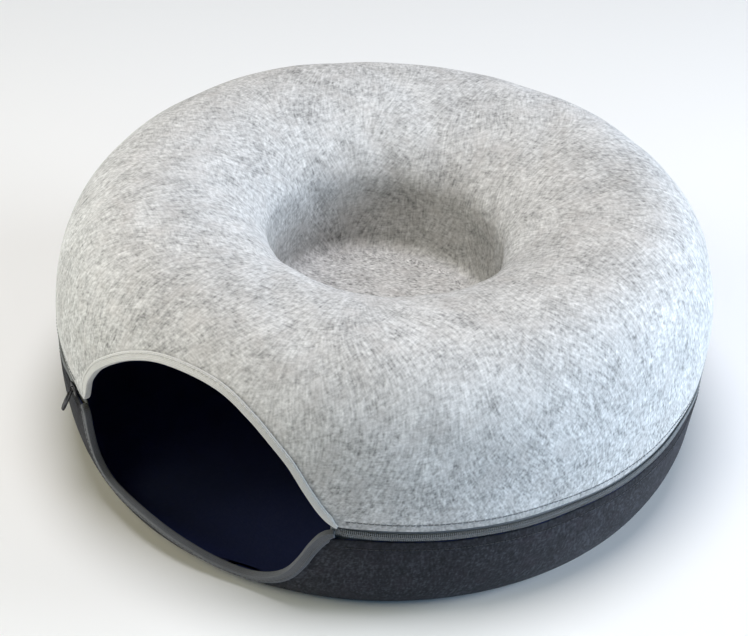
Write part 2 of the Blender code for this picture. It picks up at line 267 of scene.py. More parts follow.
# Height of the bail's feet over the plate's middle, and how far its top stays under its rise
BAIL_FEET = 0.0004
BAIL_EASE = 0.0006
TUBE_SIDES = 10
PULL_TILT = 28.0
PULL_LENGTH = 0.0190
PULL_WIDTH = 0.0056
PULL_THICK = 0.0011
PULL_POWERS = (0.5, 0.6)
PULL_NARROWS = 0.22
PULL_NARROWS_FROM = -0.1
PULL_EYE = (0.0032, 0.0042)
PULL_EYE_DROP = 0.0031
PULL_BEVEL = 0.00018

# Camera: the direction that it looks from, its distance, roll and frame
VIEW_AZIMUTH = 33.5
VIEW_ELEVATION = 35.16
VIEW_DISTANCE = 1.5
VIEW_ROLL = 1.88
VIEW_TARGET = (0.0, 0.0, 0.100)
PHOTO_WIDTH = 748
PHOTO_HEIGHT = 636
FOCAL_PIXELS = 1940.3
AXIS_PIXEL = (384.0, 298.6)
SENSOR = 36.0

# Lamps: angle from the camera's side, elevation, power and colour
LAMPS = (
    ("overhead", 0.0, 90.0, 37.8, (0.99, 0.98, 1.02)),
    ("window", 90.0, 14.0, 45.0, (0.91, 1.0, 1.09)),
    ("cool_side", 60.0, 8.0, 12.5, (0.45, 0.90, 1.40)),
    ("left_side", 270.0, 10.0, 25.5, (0.98, 1.02, 0.98)),
    ("warm_side", 310.0, 48.0, 7.5, (1.0, 0.85, 0.40)),
)
LAMP_DISTANCE = 2.2
LAMP_WIDTH = 1.2


# ---- the felt's outline


def quarter(start, end, power, upright_first):
    """A quarter of a superellipse from start to end, as rows of radius and height."""
    turn = np.linspace(0.0, pi / 2, CURVE_STEPS)
    near = np.cos(turn) ** (2 / power)
    far = np.sin(turn) ** (2 / power)
    if upright_first:
        radius = end[0] + (start[0] - end[0]) * near
        height = start[1] + (end[1] - start[1]) * far
    else:
        radius = start[0] + (end[0] - start[0]) * far
        height = end[1] + (start[1] - end[1]) * near
    return np.column_stack([radius, height])


def well_corner():
    """The rounded foot of the well's wall, and the well's floor up to its middle."""
    turn = np.linspace(0.0, pi / 2, CORNER_STEPS)
    radius = WELL_RADIUS - WELL_CORNER * (1 - np.cos(turn))
    height = WELL_FLOOR + WELL_CORNER * (1 - np.sin(turn))
    return np.vstack([np.column_stack([radius, height]), [0.0, WELL_FLOOR]])


class Outline:
    """The felt's outline from the middle of the base to the middle of the well's floor."""

    def __init__(self):
        waist = (RADIUS, WAIST_HEIGHT)
        crown = (CROWN_RADIUS, CROWN_HEIGHT)
        side = quarter((BASE_RADIUS, 0.0), waist, SIDE_POWER, False)
        shoulder = quarter(waist, crown, SHOULDER_POWER, True)
        lip = quarter(crown, (THROAT_RADIUS, THROAT_HEIGHT), LIP_POWER, False)
        self.line = np.vstack([[0.0, 0.0], side, shoulder[1:], lip[1:], well_corner()])
        lengths = np.hypot(*np.diff(self.line, axis=0).T)
        self.run = np.concatenate([[0.0], np.cumsum(lengths)]) - BASE_RADIUS
        waist_row = CURVE_STEPS
        self.side_run = self.run[1 : waist_row + 1]
        self.side_height = self.line[1 : waist_row + 1, 1]
        self.waist = self.run[waist_row]
        self.crown = self.run[2 * waist_row - 1]
        self.throat = self.run[3 * waist_row - 2]
        self.end = self.run[-1]

    def at(self, run):
        radius = np.interp(run, self.run, self.line[:, 0])
        height = np.interp(run, self.run, self.line[:, 1])
        return radius, height

    def outward(self, run):
        """The outward direction at a run, smoothed over the rounded corners."""
        before = self.at(np.maximum(run - OUTWARD_REACH, -BASE_RADIUS))
        after = self.at(np.minimum(run + OUTWARD_REACH, self.end))
        along_radius = after[0] - before[0]
        along_height = after[1] - before[1]
        length = np.hypot(along_radius, along_height)
        return along_height / length, -along_radius / length


outline = Outline()


def smooth(share):
    """0 to 1 with a level start and end."""
    share = np.clip(share, 0.0, 1.0)
    return share * share * (3 - 2 * share)


def lean(x, y, run):
    """How far the soft well has settled to one side, as a rise in height."""
    start = 0.5 * (outline.waist + outline.crown)
    share = smooth((run - start) / (outline.throat - start))
    return (WELL_LEAN[0] * x + WELL_LEAN[1] * y) * share


def swell(angle, run, radius):
    """Soft unevenness of the moulded felt; the base and the poles stay even."""
    rise = 0.0
    for height, around, along, phase in WAVES:
        rise = rise + height * np.cos(around * angle + tau * along * run + phase)
    return rise * smooth((run - WAVES_FROM) / WAVES_RISE) * smooth(radius / WAVES_LEAST_RADIUS)


def place(angle, run, depth=0.0):
    """The point at a depth under the felt's outer surface; angle in radians. Arrays are allowed."""
    radius, height = outline.at(run)
    out_radius, out_height = outline.outward(run)
    depth = np.asarray(depth, dtype=float)
    under = depth - swell(angle, run, radius)
    radius = radius - out_radius * under
    height = height - out_height * under
    height = np.where(depth > 0, np.maximum(height, np.minimum(depth, FELT)), height)
    x = radius * np.sin(angle)
    y = -radius * np.cos(angle)
    height = height + lean(x, y, run)
    return np.stack(np.broadcast_arrays(x, y, height), axis=-1)


def unit(vectors):
    return vectors / np.maximum(np.linalg.norm(vectors, axis=-1, keepdims=True), 1e-12)


def directions(angle, run):
    """At a place: the way round the ring, the way up the outline, and the way outwards."""
    reach = 0.0015
    round_the_ring = unit(place(angle + reach / RADIUS, run) - place(angle - reach / RADIUS, run))
    upwards = unit(place(angle, run + reach) - place(angle, run - reach))
    return round_the_ring, upwards, unit(np.cross(round_the_ring, upwards))


def seam_run(angle):
    """Run of the seam's middle line, which climbs a little towards one side."""
    x = RADIUS * np.sin(angle)
    y = -RADIUS * np.cos(angle)
    height = SEAM_HEIGHT + SEAM_RISE[0] * x + SEAM_RISE[1] * y
    return np.interp(height, outline.side_height, outline.side_run)


def smooth_curve(points, steps):
    """A Catmull-Rom curve through the points."""
    points = np.asarray(points, dtype=float)
    padded = np.vstack([2 * points[0] - points[1], points, 2 * points[-1] - points[-2]])
    share = np.linspace(0.0, 1.0, steps, endpoint=False)[:, None]
    pieces = []
    for a, b, c, d in zip(padded, padded[1:], padded[2:], padded[3:]):
        bend = (2 * a - 5 * b + 4 * c - d) * share**2 + (3 * b - a - 3 * c + d) * share**3
        pieces.append(0.5 * (2 * b + (c - a) * share + bend))
    return np.vstack([*pieces, points[-1:]])


def opening_edge(points):
    """An opening's edge, as dense rows of angle in radians and run over the seam."""
    return smooth_curve([(radians(angle), height) for angle, height in points], EDGE_STEPS)


arch_edge = opening_edge(ARCH)
scoop_edge = opening_edge(SCOOP)


def lengths_along(line):
    """Distance of each point from the start of a line."""
    steps = np.linalg.norm(np.diff(line, axis=0), axis=1)
    return np.concatenate([[0.0], np.cumsum(steps)])


def resample(line, length, at):
    """A line's points at some lengths along it."""
    return np.column_stack([np.interp(at, length, line[:, 0]), np.interp(at, length, line[:, 1])])


def spread(edge, count):
    """Points at equal distances along an edge."""
    length = lengths_along(edge * (RADIUS, 1.0))
    return resample(edge, length, np.linspace(0.0, length[-1], count))


def signed(angle):
    """The same angle between minus and plus half a turn."""
    return np.where(angle > pi, angle - tau, angle)


def rim_run(angle, edge, side):
    """Run of a shell's free edge: along the seam, and along the opening at the front."""
    cut = np.interp(signed(angle), edge[:, 0], edge[:, 1], left=0.0, right=0.0)
    return seam_run(angle) + side * np.maximum(side * cut, RIM_TO_SEAM)


def gap_to_rim(angle, run, edge, side):
    """Distance of each point from the shell's free edge, over the surface."""
    fine = np.linspace(-pi, pi, SEARCH_STEPS)
    line = np.column_stack([fine * RADIUS, rim_run(fine, edge, side)])
    starts = line[:-1]
    steps = np.diff(line, axis=0)
    angle, run = np.broadcast_arrays(signed(angle), run)
    gap = np.full(angle.shape, FAR_AWAY)
    near = side * (run - rim_run(angle, edge, side)) < SEARCH_REACH
    closest = []
    for spot in np.column_stack([angle[near] * RADIUS, run[near]]):
        share = np.clip(((spot - starts) * steps).sum(axis=1) / (steps**2).sum(axis=1), 0.0, 1.0)
        closest.append(np.linalg.norm(starts + share[:, None] * steps - spot, axis=1).min())
    gap[near] = closest
    gap[0] = 0.0
    return gap


# ---- meshes


def link(name, data):
    """Link a mesh, lamp or camera as an object at the origin."""
    made = bpy.data.objects.new(name, data)
    bpy.context.scene.collection.objects.link(made)
    return made


def to_mesh(name, data):
    """A mesh from a finished bmesh, which is freed."""
    mesh = bpy.data.meshes.new(name)
    data.to_mesh(mesh)
    data.free()
    return mesh


def add_mesh(name, data, finish):
    """Link a finished bmesh as a smooth object."""
    mesh = to_mesh(name, data)
    mesh.materials.append(finish)
    mesh.shade_smooth()
    return link(name, mesh)


def skin(data, rings, flip=False):
    """Faces between each ring of vertices and the next."""
    for low, high in zip(rings, rings[1:]):
        for k in range(len(low)):
            corners = (low[k - 1], low[k], high[k], high[k - 1])
            data.faces.new(corners[::-1] if flip else corners)


def fan(data, ring, tip, flip=False):
    """Faces between a ring of vertices and a tip."""
    for k in range(len(ring)):
        corners = (ring[k - 1], ring[k], tip)
        data.faces.new(corners[::-1] if flip else corners)


def closed_bar(data, rings):
    """A closed form through rings of vertices, its faces outwards."""
    skin(data, rings)
    data.faces.new(rings[0])
    data.faces.new(rings[-1])
    bmesh.ops.recalc_face_normals(data, faces=data.faces)


def set_attribute(piece, name, values):
    """Store one number or one vector for each vertex."""
    values = np.asarray(values, dtype=np.float32)
    kind, field = ("FLOAT", "value") if values.ndim == 1 else ("FLOAT_VECTOR", "vector")
    attribute = piece.data.attributes.new(name, kind, "POINT")
    attribute.data.foreach_set(field, values.ravel())


def finish_piece(piece, slot, *nodes):
    """Ride on the body and stand for the CAD nodes, which are hidden; the slot is not used."""
    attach(piece, "root")
    if nodes:
        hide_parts(*nodes)
    return piece


def column_angles(edge):
    """Angles of a felt's columns: close along the opening's edge, wider behind it."""
    limit = radians(ARCH_END)
    front = spread(edge, FRONT_COLUMNS)[:, 0]
    front = front[np.abs(front) < limit - COLUMN_GAP]
    return np.concatenate([front, np.linspace(limit, tau - limit, REST_COLUMNS)])


def felt_rows(angles, edge, side):
    """Runs of a felt's rows at each column, from the free edge to just before the pole."""
    rim = rim_run(angles, edge, side)
    near = rim + side * np.array(RIM_ROWS)[:, None]
    start = near[-1]
    if side > 0:
        climb = start + np.linspace(0.0, 1.0, UPPER_WALL_ROWS)[1:, None] * (outline.crown - start)
        lip = np.linspace(outline.crown, outline.throat, LIP_ROWS)[1:]
        foot = outline.end - WELL_RADIUS
        wall = np.linspace(outline.throat, foot + WELL_FOOT[0], WELL_WALL_ROWS)[1:]
        corner = foot + np.linspace(*WELL_FOOT[1:3], FOOT_ROWS)
        floor = np.linspace(foot + WELL_FOOT[3], outline.end - POLE_GAP, WELL_FLOOR_ROWS)
        rest = np.concatenate([lip, wall, corner, floor])
    else:
        climb = start + np.linspace(0.0, 1.0, LOWER_WALL_ROWS)[1:, None] * (BASE_FOOT[0] - start)
        floor = np.linspace(BASE_FOOT[3], -BASE_RADIUS + POLE_GAP, BASE_ROWS)
        rest = np.concatenate([np.linspace(*BASE_FOOT[1:3], FOOT_ROWS), floor])
    return np.vstack([near, climb, rest[:, None] + np.zeros_like(angles)])


def felt_sheet(name, angles, edge, side, finish):
    """A moulded felt: two skins that meet in a rounded free edge, pressed where it is sewn."""
    runs = felt_rows(angles, edge, side)
    gap = gap_to_rim(angles, runs, edge, side)
    thick = FELT_AT_EDGE + (FELT - FELT_AT_EDGE) * smooth((gap - PRESSED_WIDTH) / PRESSED_BLEND)
    behind = np.abs(signed(angles)) - radians(ARCH_END - ROLL_BLEND / 2)
    behind = smooth(behind / radians(ROLL_BLEND))
    roll = EDGE_ROLL * smooth(1 - gap / EDGE_BAND) * behind
    half = (FELT_AT_EDGE - roll) / 2
    rounding = half - np.sqrt(np.maximum(half**2 - np.maximum(half - gap, 0.0) ** 2, 0.0))
    groove = GROOVE_DEPTH * np.exp(-(((gap - RIM_STITCHES) / GROOVE_WIDTH) ** 2)) * behind
    outer_depth = roll + rounding + groove
    inner_depth = thick - rounding - GROOVE_INSIDE * groove
    pole = outline.end if side > 0 else -BASE_RADIUS
    data = bmesh.new()
    for depth in (outer_depth, inner_depth):
        grid = place(angles, runs, depth)
        rows = [[data.verts.new(point) for point in row] for row in grid]
        middle = data.verts.new(place(0.0, pole, float(depth[-1, 0])))
        flip = (side > 0) != (depth is outer_depth)
        skin(data, rows, flip)
        fan(data, rows[-1], middle, flip)
    ring, up, _ = directions(angles + 0 * runs, runs)
    turn = 0.0
    for size, around, along, phase in LAY_TURNS:
        turn = turn + size * np.sin(around * angles + along * runs + phase)
    lay = grain(ring, up, turn, runs, lay_length(runs))
    cross = grain(ring, up, turn + CROSS_TURN, runs, CROSS_LENGTH * lay_length(runs))
    piece = add_mesh(name, data, finish)
    from_edge = np.append(gap.ravel(), FAR_AWAY)
    none = 0 * from_edge
    set_attribute(piece, "lay", [*lay, *lay])
    set_attribute(piece, "cross", [*cross, *cross])
    set_attribute(piece, "from_edge", [*from_edge, *from_edge])
    set_attribute(piece, "inside", [*none, *(none + 1)])
    merge_doubles(piece)
    return piece


def grain(ring, up, turn, runs, length):
    """The fibres' direction at each point of a skin, and at its pole; even on the flat floors."""
    way = np.cos(turn)[..., None] * up + np.sin(turn)[..., None] * ring
    curved = smooth((outline.at(runs)[0] - FLOOR_GRAIN_RADIUS) / FLOOR_GRAIN_BLEND)[..., None]
    way = way * curved + np.array(FLOOR_GRAIN) * (1 - curved)
    return np.vstack([(way * length[..., None]).reshape(-1, 3), FLOOR_GRAIN])


def lay_length(runs):
    """How drawn out the fibres lie: most on the crown, least low on the wall."""
    climb = smooth((runs - outline.waist + LAY_FROM) / LAY_RISE)
    return LEAST_LAY + (1 - LEAST_LAY) * climb


def merge_doubles(piece):
    """Join the skins along the free edge, and turn the faces outwards."""
    data = bmesh.new()
    data.from_mesh(piece.data)
    bmesh.ops.remove_doubles(data, verts=data.verts, dist=MERGE_DISTANCE)
    bmesh.ops.recalc_face_normals(data, faces=data.faces)
    data.to_mesh(piece.data)
    data.free()


def sweep(name, lines, along, finish):
    """A closed bar whose corners follow lines, each its points and its place across the weave."""
    data = bmesh.new()
    sections = np.stack([points for points, _ in lines], axis=1)
    closed_bar(data, [[data.verts.new(point) for point in section] for section in sections])
    piece = add_mesh(name, data, finish)
    weave = [np.column_stack([along, across + 0 * along, 0 * along]) for _, across in lines]
    set_attribute(piece, "weave", np.stack(weave, axis=1).reshape(-1, 3))
    return piece


def edge_path(edge, side, ends, step):
    """Even points along an opening's edge, the way into the felt at each, and the length so far."""
    dense = spread(edge, FINE_EDGE_STEPS)
    dense = dense[(dense[:, 0] > radians(ends[0])) & (dense[:, 0] < radians(ends[1]))]
    flat = dense * (RADIUS, 1.0)
    length = lengths_along(flat)
    at = np.linspace(0.0, length[-1], int(length[-1] / step) + 1)
    path = resample(flat, length, at)
    along = unit(np.gradient(path, axis=0))
    return path, side * np.column_stack([-along[:, 1], along[:, 0]]), at


def on_edge(path, into_felt, across, depth):
    """The points at a distance across an edge: positive into the felt."""
    angle = (path[:, 0] + across * into_felt[:, 0]) / RADIUS
    run = seam_run(angle) + path[:, 1] + across * into_felt[:, 1]
    return place(angle, run, depth), angle, run


def binding_profile(flap):
    """Cross-section of a folded tape: distances into the felt and depths, as a closed loop."""
    half = BINDING / 2
    middle = FELT_AT_EDGE / 2
    reach = middle + CLEAR + half
    turn = np.linspace(pi / 2, -pi / 2, FOLD_STEPS)
    power = 2 / FOLD_POWER
    fold_across = -(CLEAR + half) * np.abs(np.cos(turn)) ** power
    fold_depth = middle - reach * np.sign(np.sin(turn)) * np.abs(np.sin(turn)) ** power
    legs = np.array(FLAP_SHARES) * flap
    across = np.concatenate([legs, fold_across, legs[::-1]])
    depth = np.concatenate([legs * 0 + middle - reach, fold_depth, legs * 0 + middle + reach])
    line = np.column_stack([across, depth])
    along = unit(np.gradient(line, axis=0))
    normal = np.column_stack([-along[:, 1], along[:, 0]])
    cap = np.array([1.0, 0.0]) * half * CAP_BULGE
    outer = line - normal * half
    inner = line + normal * half
    loop = [outer, [line[-1] + cap], inner[::-1], [line[0] + cap]]
    travel = lengths_along(line)
    stations = [travel, [travel[-1] + half], travel[::-1], [-half]]
    return np.vstack(loop), np.concatenate(stations)


def tapered(at, taper):
    """Share of a leg's full width at each length along a tape."""
    reach, least = taper
    return least + (1 - least) * smooth(np.minimum(at, at[-1] - at) / reach)


def make_binding(name, edge, side, flap, ends, finish):
    """Tape folded over a cut edge, drawn in a little at each stitch; it narrows at both ends."""
    path, into_felt, at = edge_path(edge, side, ends, BINDING_STEP)
    profile, stations = binding_profile(flap)
    pucker = PUCKER * np.cos(tau * at / STITCH_PITCH) + SLACK * np.sin(tau * at / SLACK_LENGTH)
    lines = []
    for (across, depth), station in zip(profile, stations):
        drawn = pucker * np.exp(-(((across - BINDING_STITCHES) / PUCKER_WIDTH) ** 2))
        outside = depth < FELT_AT_EDGE / 2
        width = tapered(at, OUTER_TAPER if outside else INNER_TAPER)
        reach = across * width if across > 0 else across
        points = on_edge(path, into_felt, reach, depth - drawn if outside else depth)[0]
        lines.append((points, station))
    return sweep(name, lines, at, finish)


def zip_angles(step):
    """Angles along the zip, from one corner of the opening round the back to the other."""
    start = radians(ZIP_ENDS[0])
    stop = tau - radians(ZIP_ENDS[1])
    return np.linspace(start, stop, int((stop - start) * RADIUS / step))


def zip_tuck(angle):
    """How far both ends of the zip are tucked in under the bindings."""
    turned = np.degrees(np.abs(signed(angle)))
    return ZIP_TUCK * smooth((ZIP_TUCK_ANGLE - turned) / ZIP_TUCK_BLEND)


def zip_bow(angle):
    """How far the zip bows out between the rims, away from its ends and from the slider."""
    turned = np.degrees(signed(angle))
    past_end = np.where(turned > 0, turned - ZIP_BOW_ANGLES[0], -turned - ZIP_BOW_ANGLES[1])
    return ZIP_BOW * smooth(past_end / ZIP_BOW_BLEND)


def make_tape(name, side, finish):
    """Woven zip tape behind a felt rim; the two tapes part where the slider has opened them."""
    angles = zip_angles(ZIP_STEP)
    middle = radians(360 + SLIDER_ANGLE)
    parting = np.clip((angles - middle) / radians(SLIDER_HALF_ANGLE), 0.0, 1.0)
    inner = CLEAR / 2 + parting * ZIP_SPLIT
    near = FELT_AT_EDGE + CLEAR
    far = near + TAPE_THICK
    seam = seam_run(angles)
    lines = []
    corners = [(share, near) for share in TAPE_SHARES] + [(share, far) for share in TAPE_SHARES[::-1]]
    for share, depth in corners:
        across = inner + share * (TAPE_HALF - inner)
        bowed = zip_bow(angles) * smooth((ZIP_BOW_WIDTH - across) / ZIP_BOW_EDGE)
        lines.append((place(angles, seam + side * across, depth + zip_tuck(angles) - bowed), across))
    return sweep(name, lines, angles * RADIUS, finish)


# ---- nodes


def give(tree, socket, value):
    """Set a socket, or link it; None leaves it as it is."""
    value = getattr(value, "socket", value)
    if isinstance(value, bpy.types.NodeSocket):
        tree.links.new(value, socket)
    elif value is not None:
        socket.default_value = value


def set_stops(ramp, stops):
    """Colours of a ramp at their positions."""
    while len(ramp.elements) < len(stops):
        ramp.elements.new(1.0)
    for element, (position, colour) in zip(ramp.elements, stops):
        element.position = position
        element.color = (*colour, 1.0)


def add_node(tree, kind, values, named, settings):
    """Add a node of a type with its settings; each socket gets a value or a link."""
    made = tree.nodes.new(kind)
    for key, value in (settings or {}).items():
        if key == "stops":
            set_stops(made.color_ramp, value)
        else:
            setattr(made, key, value)
    for key, value in (*enumerate(values), *named.items()):
        give(tree, made.inputs[key.replace("_", " ") if isinstance(key, str) else key], value)
    return made


# ---- Geometry Nodes


class Tree:
    """A Geometry Nodes tree that is built node by node."""

    def __init__(self, name):
        self.group = bpy.data.node_groups.new(name, "GeometryNodeTree")
        for way in ("INPUT", "OUTPUT"):
            self.group.interface.new_socket("Geometry", in_out=way, socket_type="NodeSocketGeometry")
        self.entry = self.group.nodes.new("NodeGroupInput")
        self.exit = self.group.nodes.new("NodeGroupOutput")
        self.inputs = {}

    def number(self, name, kind="NodeSocketFloat"):
        """A named input of the tree."""
        socket = self.group.interface.new_socket(name, in_out="INPUT", socket_type=kind)
        self.inputs[name] = socket.identifier
        return self.entry.outputs[name]

    def node(self, kind, *values, settings=None, **named):
        """The first output of a new node."""
        return add_node(self.group, kind, values, named, settings).outputs[0]

    def scatter(self, model, finish):
        """The model at each point, turned, realized and with its material, as the tree's result."""
        rows = self.node(
            "GeometryNodeInstanceOnPoints",
            Points=self.entry.outputs["Geometry"],
            Instance=model,
            Rotation=turned_to(self),
        )
        real = self.node("GeometryNodeRealizeInstances", Geometry=rows)
        painted = self.node("GeometryNodeSetMaterial", Geometry=real, Material=finish)
        give(self.group, self.exit.inputs[0], painted)

    def run(self, name, source, values):
        """The tree's result on a source mesh, as a plain piece."""
        step = source.modifiers.new(self.group.name, "NODES")
        step.node_group = self.group
        for key, value in values.items():
            step[self.inputs[key]] = value
        bpy.context.view_layer.update()
        ready = source.evaluated_get(bpy.context.evaluated_depsgraph_get())
        mesh = bpy.data.meshes.new_from_object(ready)
        mesh.name = name
        bpy.data.objects.remove(source, do_unlink=True)
        mesh.shade_smooth()
        return link(name, mesh)


def points_object(name, points, **vectors):
    """A mesh of loose points that carry named directions."""
    mesh = bpy.data.meshes.new(name)
    mesh.from_pydata([tuple(point) for point in points], [], [])
    made = link(name, mesh)
    for key, values in vectors.items():
        set_attribute(made, key, values)
    return made


def turned_to(tree):
    """The rotation whose X follows the attribute 'ahead' and whose Z follows 'outward'."""
    vector = {"data_type": "FLOAT_VECTOR"}
    ahead = tree.node("GeometryNodeInputNamedAttribute", settings=vector, Name="ahead")
    out = tree.node("GeometryNodeInputNamedAttribute", settings=vector, Name="outward")
    align = "FunctionNodeAlignRotationToVector"
    first = tree.node(align, settings={"axis": "X"}, Vector=ahead)
    return tree.node(align, settings={"axis": "Z", "pivot_axis": "X"}, Rotation=first, Vector=out)


def stitch_tree(finish):
    """Sewing thread: one raised stitch at each point."""
    tree = Tree("stitches")
    length = tree.number("Length")
    thread = tree.number("Thread")
    lift = tree.number("Lift")
    times = {"operation": "MULTIPLY"}
    start = tree.node("ShaderNodeCombineXYZ", X=tree.node("ShaderNodeMath", length, -0.5, settings=times))
    middle = tree.node("ShaderNodeCombineXYZ", Z=lift)
    end = tree.node("ShaderNodeCombineXYZ", X=tree.node("ShaderNodeMath", length, 0.5, settings=times))
    bow = tree.node("GeometryNodeCurveQuadraticBezier", Resolution=5, Start=start, Middle=middle, End=end)
    ring = tree.node("GeometryNodeCurvePrimitiveCircle", Resolution=6, Radius=thread)
    strand = tree.node("GeometryNodeCurveToMesh", Curve=bow, Profile_Curve=ring, Fill_Caps=True)
    tree.scatter(strand, finish)
    return tree


def even_angles(fine, run, depth, pitch, shift, spare=0):
    """Angles at an even pitch along a line over the felt."""
    length = lengths_along(place(fine, run, depth))
    at = (np.arange(int(length[-1] / pitch) - spare) + shift) * pitch
    return np.interp(at, length, fine)


def rim_stitch_points(edge, side):
    """Points, directions along the row and outward directions of a row beside a felt rim."""
    start = radians(ARCH_END + STITCH_START)
    fine = np.linspace(start, tau - start, FINE_STEPS)
    run = rim_run(fine, edge, side) + side * RIM_STITCHES
    angle = even_angles(fine, run, 0.0, STITCH_PITCH, 0.5)
    run = np.interp(angle, fine, run)
    ahead, _, outward = directions(angle, run)
    return place(angle, run, RIM_STITCH_DEPTH), ahead, outward


def binding_stitch_points(edge, side, ends):
    """Points, directions along the row and outward directions of a row along a binding."""
    path, into_felt, at = edge_path(edge, side, ends, STITCH_PITCH)
    across = BINDING_STITCHES * tapered(at, OUTER_TAPER)
    points, angle, run = on_edge(path, into_felt, across, BINDING_STITCH_DEPTH)
    outward = directions(angle, run)[2]
    ahead = unit(np.gradient(points, axis=0))
    return points[1:-1], ahead[1:-1], outward[1:-1]


def sew(name, row, finish, lift, slot):
    """A row of stitches as one piece."""
    points, ahead, outward = row
    source = points_object(name + "_points", points, ahead=ahead, outward=outward)
    values = {"Length": STITCH_LENGTH, "Thread": THREAD, "Lift": lift}
    return finish_piece(stitch_tree(finish).run(name, source, values), slot)


def tooth_mesh():
    """A tooth: a rounded bar across the zip, with a thicker head at the zip's middle; X is along it."""
    data = bmesh.new()
    reach = COIL_HALF + TOOTH_OVERLAP
    height = (COIL_DEPTH[1] - COIL_DEPTH[0]) / 2
    rings = []
    for share in np.linspace(0.0, 1.0, TOOTH_RINGS):
        x = TOOTH_BEND * sin(share * pi)
        y = share * reach - TOOTH_OVERLAP
        half = TOOTH_WIDTH / 2 * (TOOTH_HEAD if share == 0 else 1.0)
        ring = []
        for spin in np.linspace(0.0, tau, TOOTH_SIDES, endpoint=False):
            z = -height * TOOTH_SINK + height * (1 - TOOTH_SINK) * sin(spin)
            ring.append(data.verts.new((x + half * cos(spin), y, z)))
        rings.append(ring)
    skin(data, rings)
    for ring, way in ((rings[0], -1), (rings[-1], 1)):
        middle = sum((v.co for v in ring), Vector()) / TOOTH_SIDES
        fan(data, ring, data.verts.new(middle + Vector((0, way * TOOTH_TIP, 0))))
    bmesh.ops.recalc_face_normals(data, faces=data.faces)
    return link("tooth", to_mesh("tooth", data))


def teeth_tree(finish):
    """A tooth at each point."""
    tree = Tree("teeth")
    model = tree.number("Tooth", "NodeSocketObject")
    shape = add_node(tree.group, "GeometryNodeObjectInfo", (), {"Object": model}, None)
    tree.scatter(shape.outputs["Geometry"], finish)
    return tree


def make_coil(name, side, finish):
    """One row of closed teeth; it ends inside the slider."""
    start = radians(ZIP_ENDS[0] + COIL_START)
    stop = radians(360 + SLIDER_ANGLE)
    fine = np.linspace(start, stop, FINE_STEPS)
    middle = sum(COIL_DEPTH) / 2
    shift = 0.25 if side > 0 else 0.75
    angle = even_angles(fine, seam_run(fine), middle, TOOTH_PITCH, shift, spare=1)
    run = seam_run(angle)
    ring, _, outward = directions(angle, run)
    points = place(angle, run, middle + zip_tuck(angle) - zip_bow(angle))
    tooth = tooth_mesh()
    source = points_object(name + "_points", points, ahead=ring * side, outward=outward)
    piece = teeth_tree(finish).run(name, source, {"Tooth": tooth})
    bpy.data.objects.remove(tooth, do_unlink=True)
    return piece


# ---- materials


def arithmetic(operation, swapped=False):
    """An operator that adds a Math node of two values."""

    def operator(self, other):
        return self.math(operation, *((other, self) if swapped else (self, other)))

    return operator


class Value:
    """A shader socket; arithmetic on it adds Math nodes."""

    def __init__(self, finish, socket):
        self.finish = finish
        self.socket = socket

    def math(self, operation, *values):
        return self.finish.node("ShaderNodeMath", *values, settings={"operation": operation})

    __add__ = arithmetic("ADD")
    __radd__ = arithmetic("ADD", swapped=True)
    __sub__ = arithmetic("SUBTRACT")
    __rsub__ = arithmetic("SUBTRACT", swapped=True)
    __mul__ = arithmetic("MULTIPLY")
    __rmul__ = arithmetic("MULTIPLY", swapped=True)
    __truediv__ = arithmetic("DIVIDE")

    def above(self, low, high):
        """0 below low, 1 above high, and smooth between them."""
        settings = {"interpolation_type": "SMOOTHSTEP"}
        return self.finish.node("ShaderNodeMapRange", self, low, high, 0.0, 1.0, settings=settings)

    def sine(self):
        return self.math("SINE", self)


class Finish:
    """A material whose nodes are added one by one."""

    def __init__(self, name, **constants):
        self.material = bpy.data.materials.new(name)
        self.material.use_nodes = True
        self.tree = self.material.node_tree
        self.shader = self.tree.nodes["Principled BSDF"]
        for key, value in constants.items():
            self.shader.inputs[key.replace("_", " ")].default_value = value

    def node(self, kind, *values, settings=None, output=0, **named):
        """One of a new node's outputs."""
        return Value(self, add_node(self.tree, kind, values, named, settings).outputs[output])

    def mix(self, share, *colours):
        """Mix two colours; the node's sockets of other types keep their values."""
        first, second = (one if isinstance(one, Value) else (*one, 1.0) for one in colours)
        others = (None,) * 5
        settings = {"data_type": "RGBA"}
        return self.node("ShaderNodeMix", share, *others, first, second, settings=settings, output=2)

    def place(self):
        """Object coordinates."""
        return self.node("ShaderNodeTexCoord", output="Object")

    def attribute(self, name, output="Vector"):
        return self.node("ShaderNodeAttribute", settings={"attribute_name": name}, output=output)

    def noise(self, where, scale, detail=2.0):
        return self.node("ShaderNodeTexNoise", Vector=where, Scale=scale, Detail=detail, Roughness=0.5)

    def along(self, where, lay, distance):
        """A place moved along the fibres' direction."""
        settings = {"operation": "MULTIPLY_ADD"}
        return self.node("ShaderNodeVectorMath", lay, (distance,) * 3, where, settings=settings)

    def streaks(self, way, scale, length, samples):
        """Noise drawn out along a direction that the felt keeps, about 0.5 on average."""
        where = self.place()
        lay = self.attribute(way)
        total = None
        for k in range(samples):
            offset = (k / (samples - 1) - 0.5) * length
            one = self.noise(self.along(where, lay, offset), scale, 0.0)
            total = one if total is None else total + one
        return total / samples

    def finish(self, colour, roughness=None, height=None, strength=0.3, distance=0.0005):
        """Connect the colour, the roughness and the relief."""
        bump = None
        if height is not None:
            bump = self.node("ShaderNodeBump", Height=height, Strength=strength, Distance=distance)
        for name, value in (("Base Color", colour), ("Roughness", roughness), ("Normal", bump)):
            give(self.tree, self.shader.inputs[name], value)
        return self.material


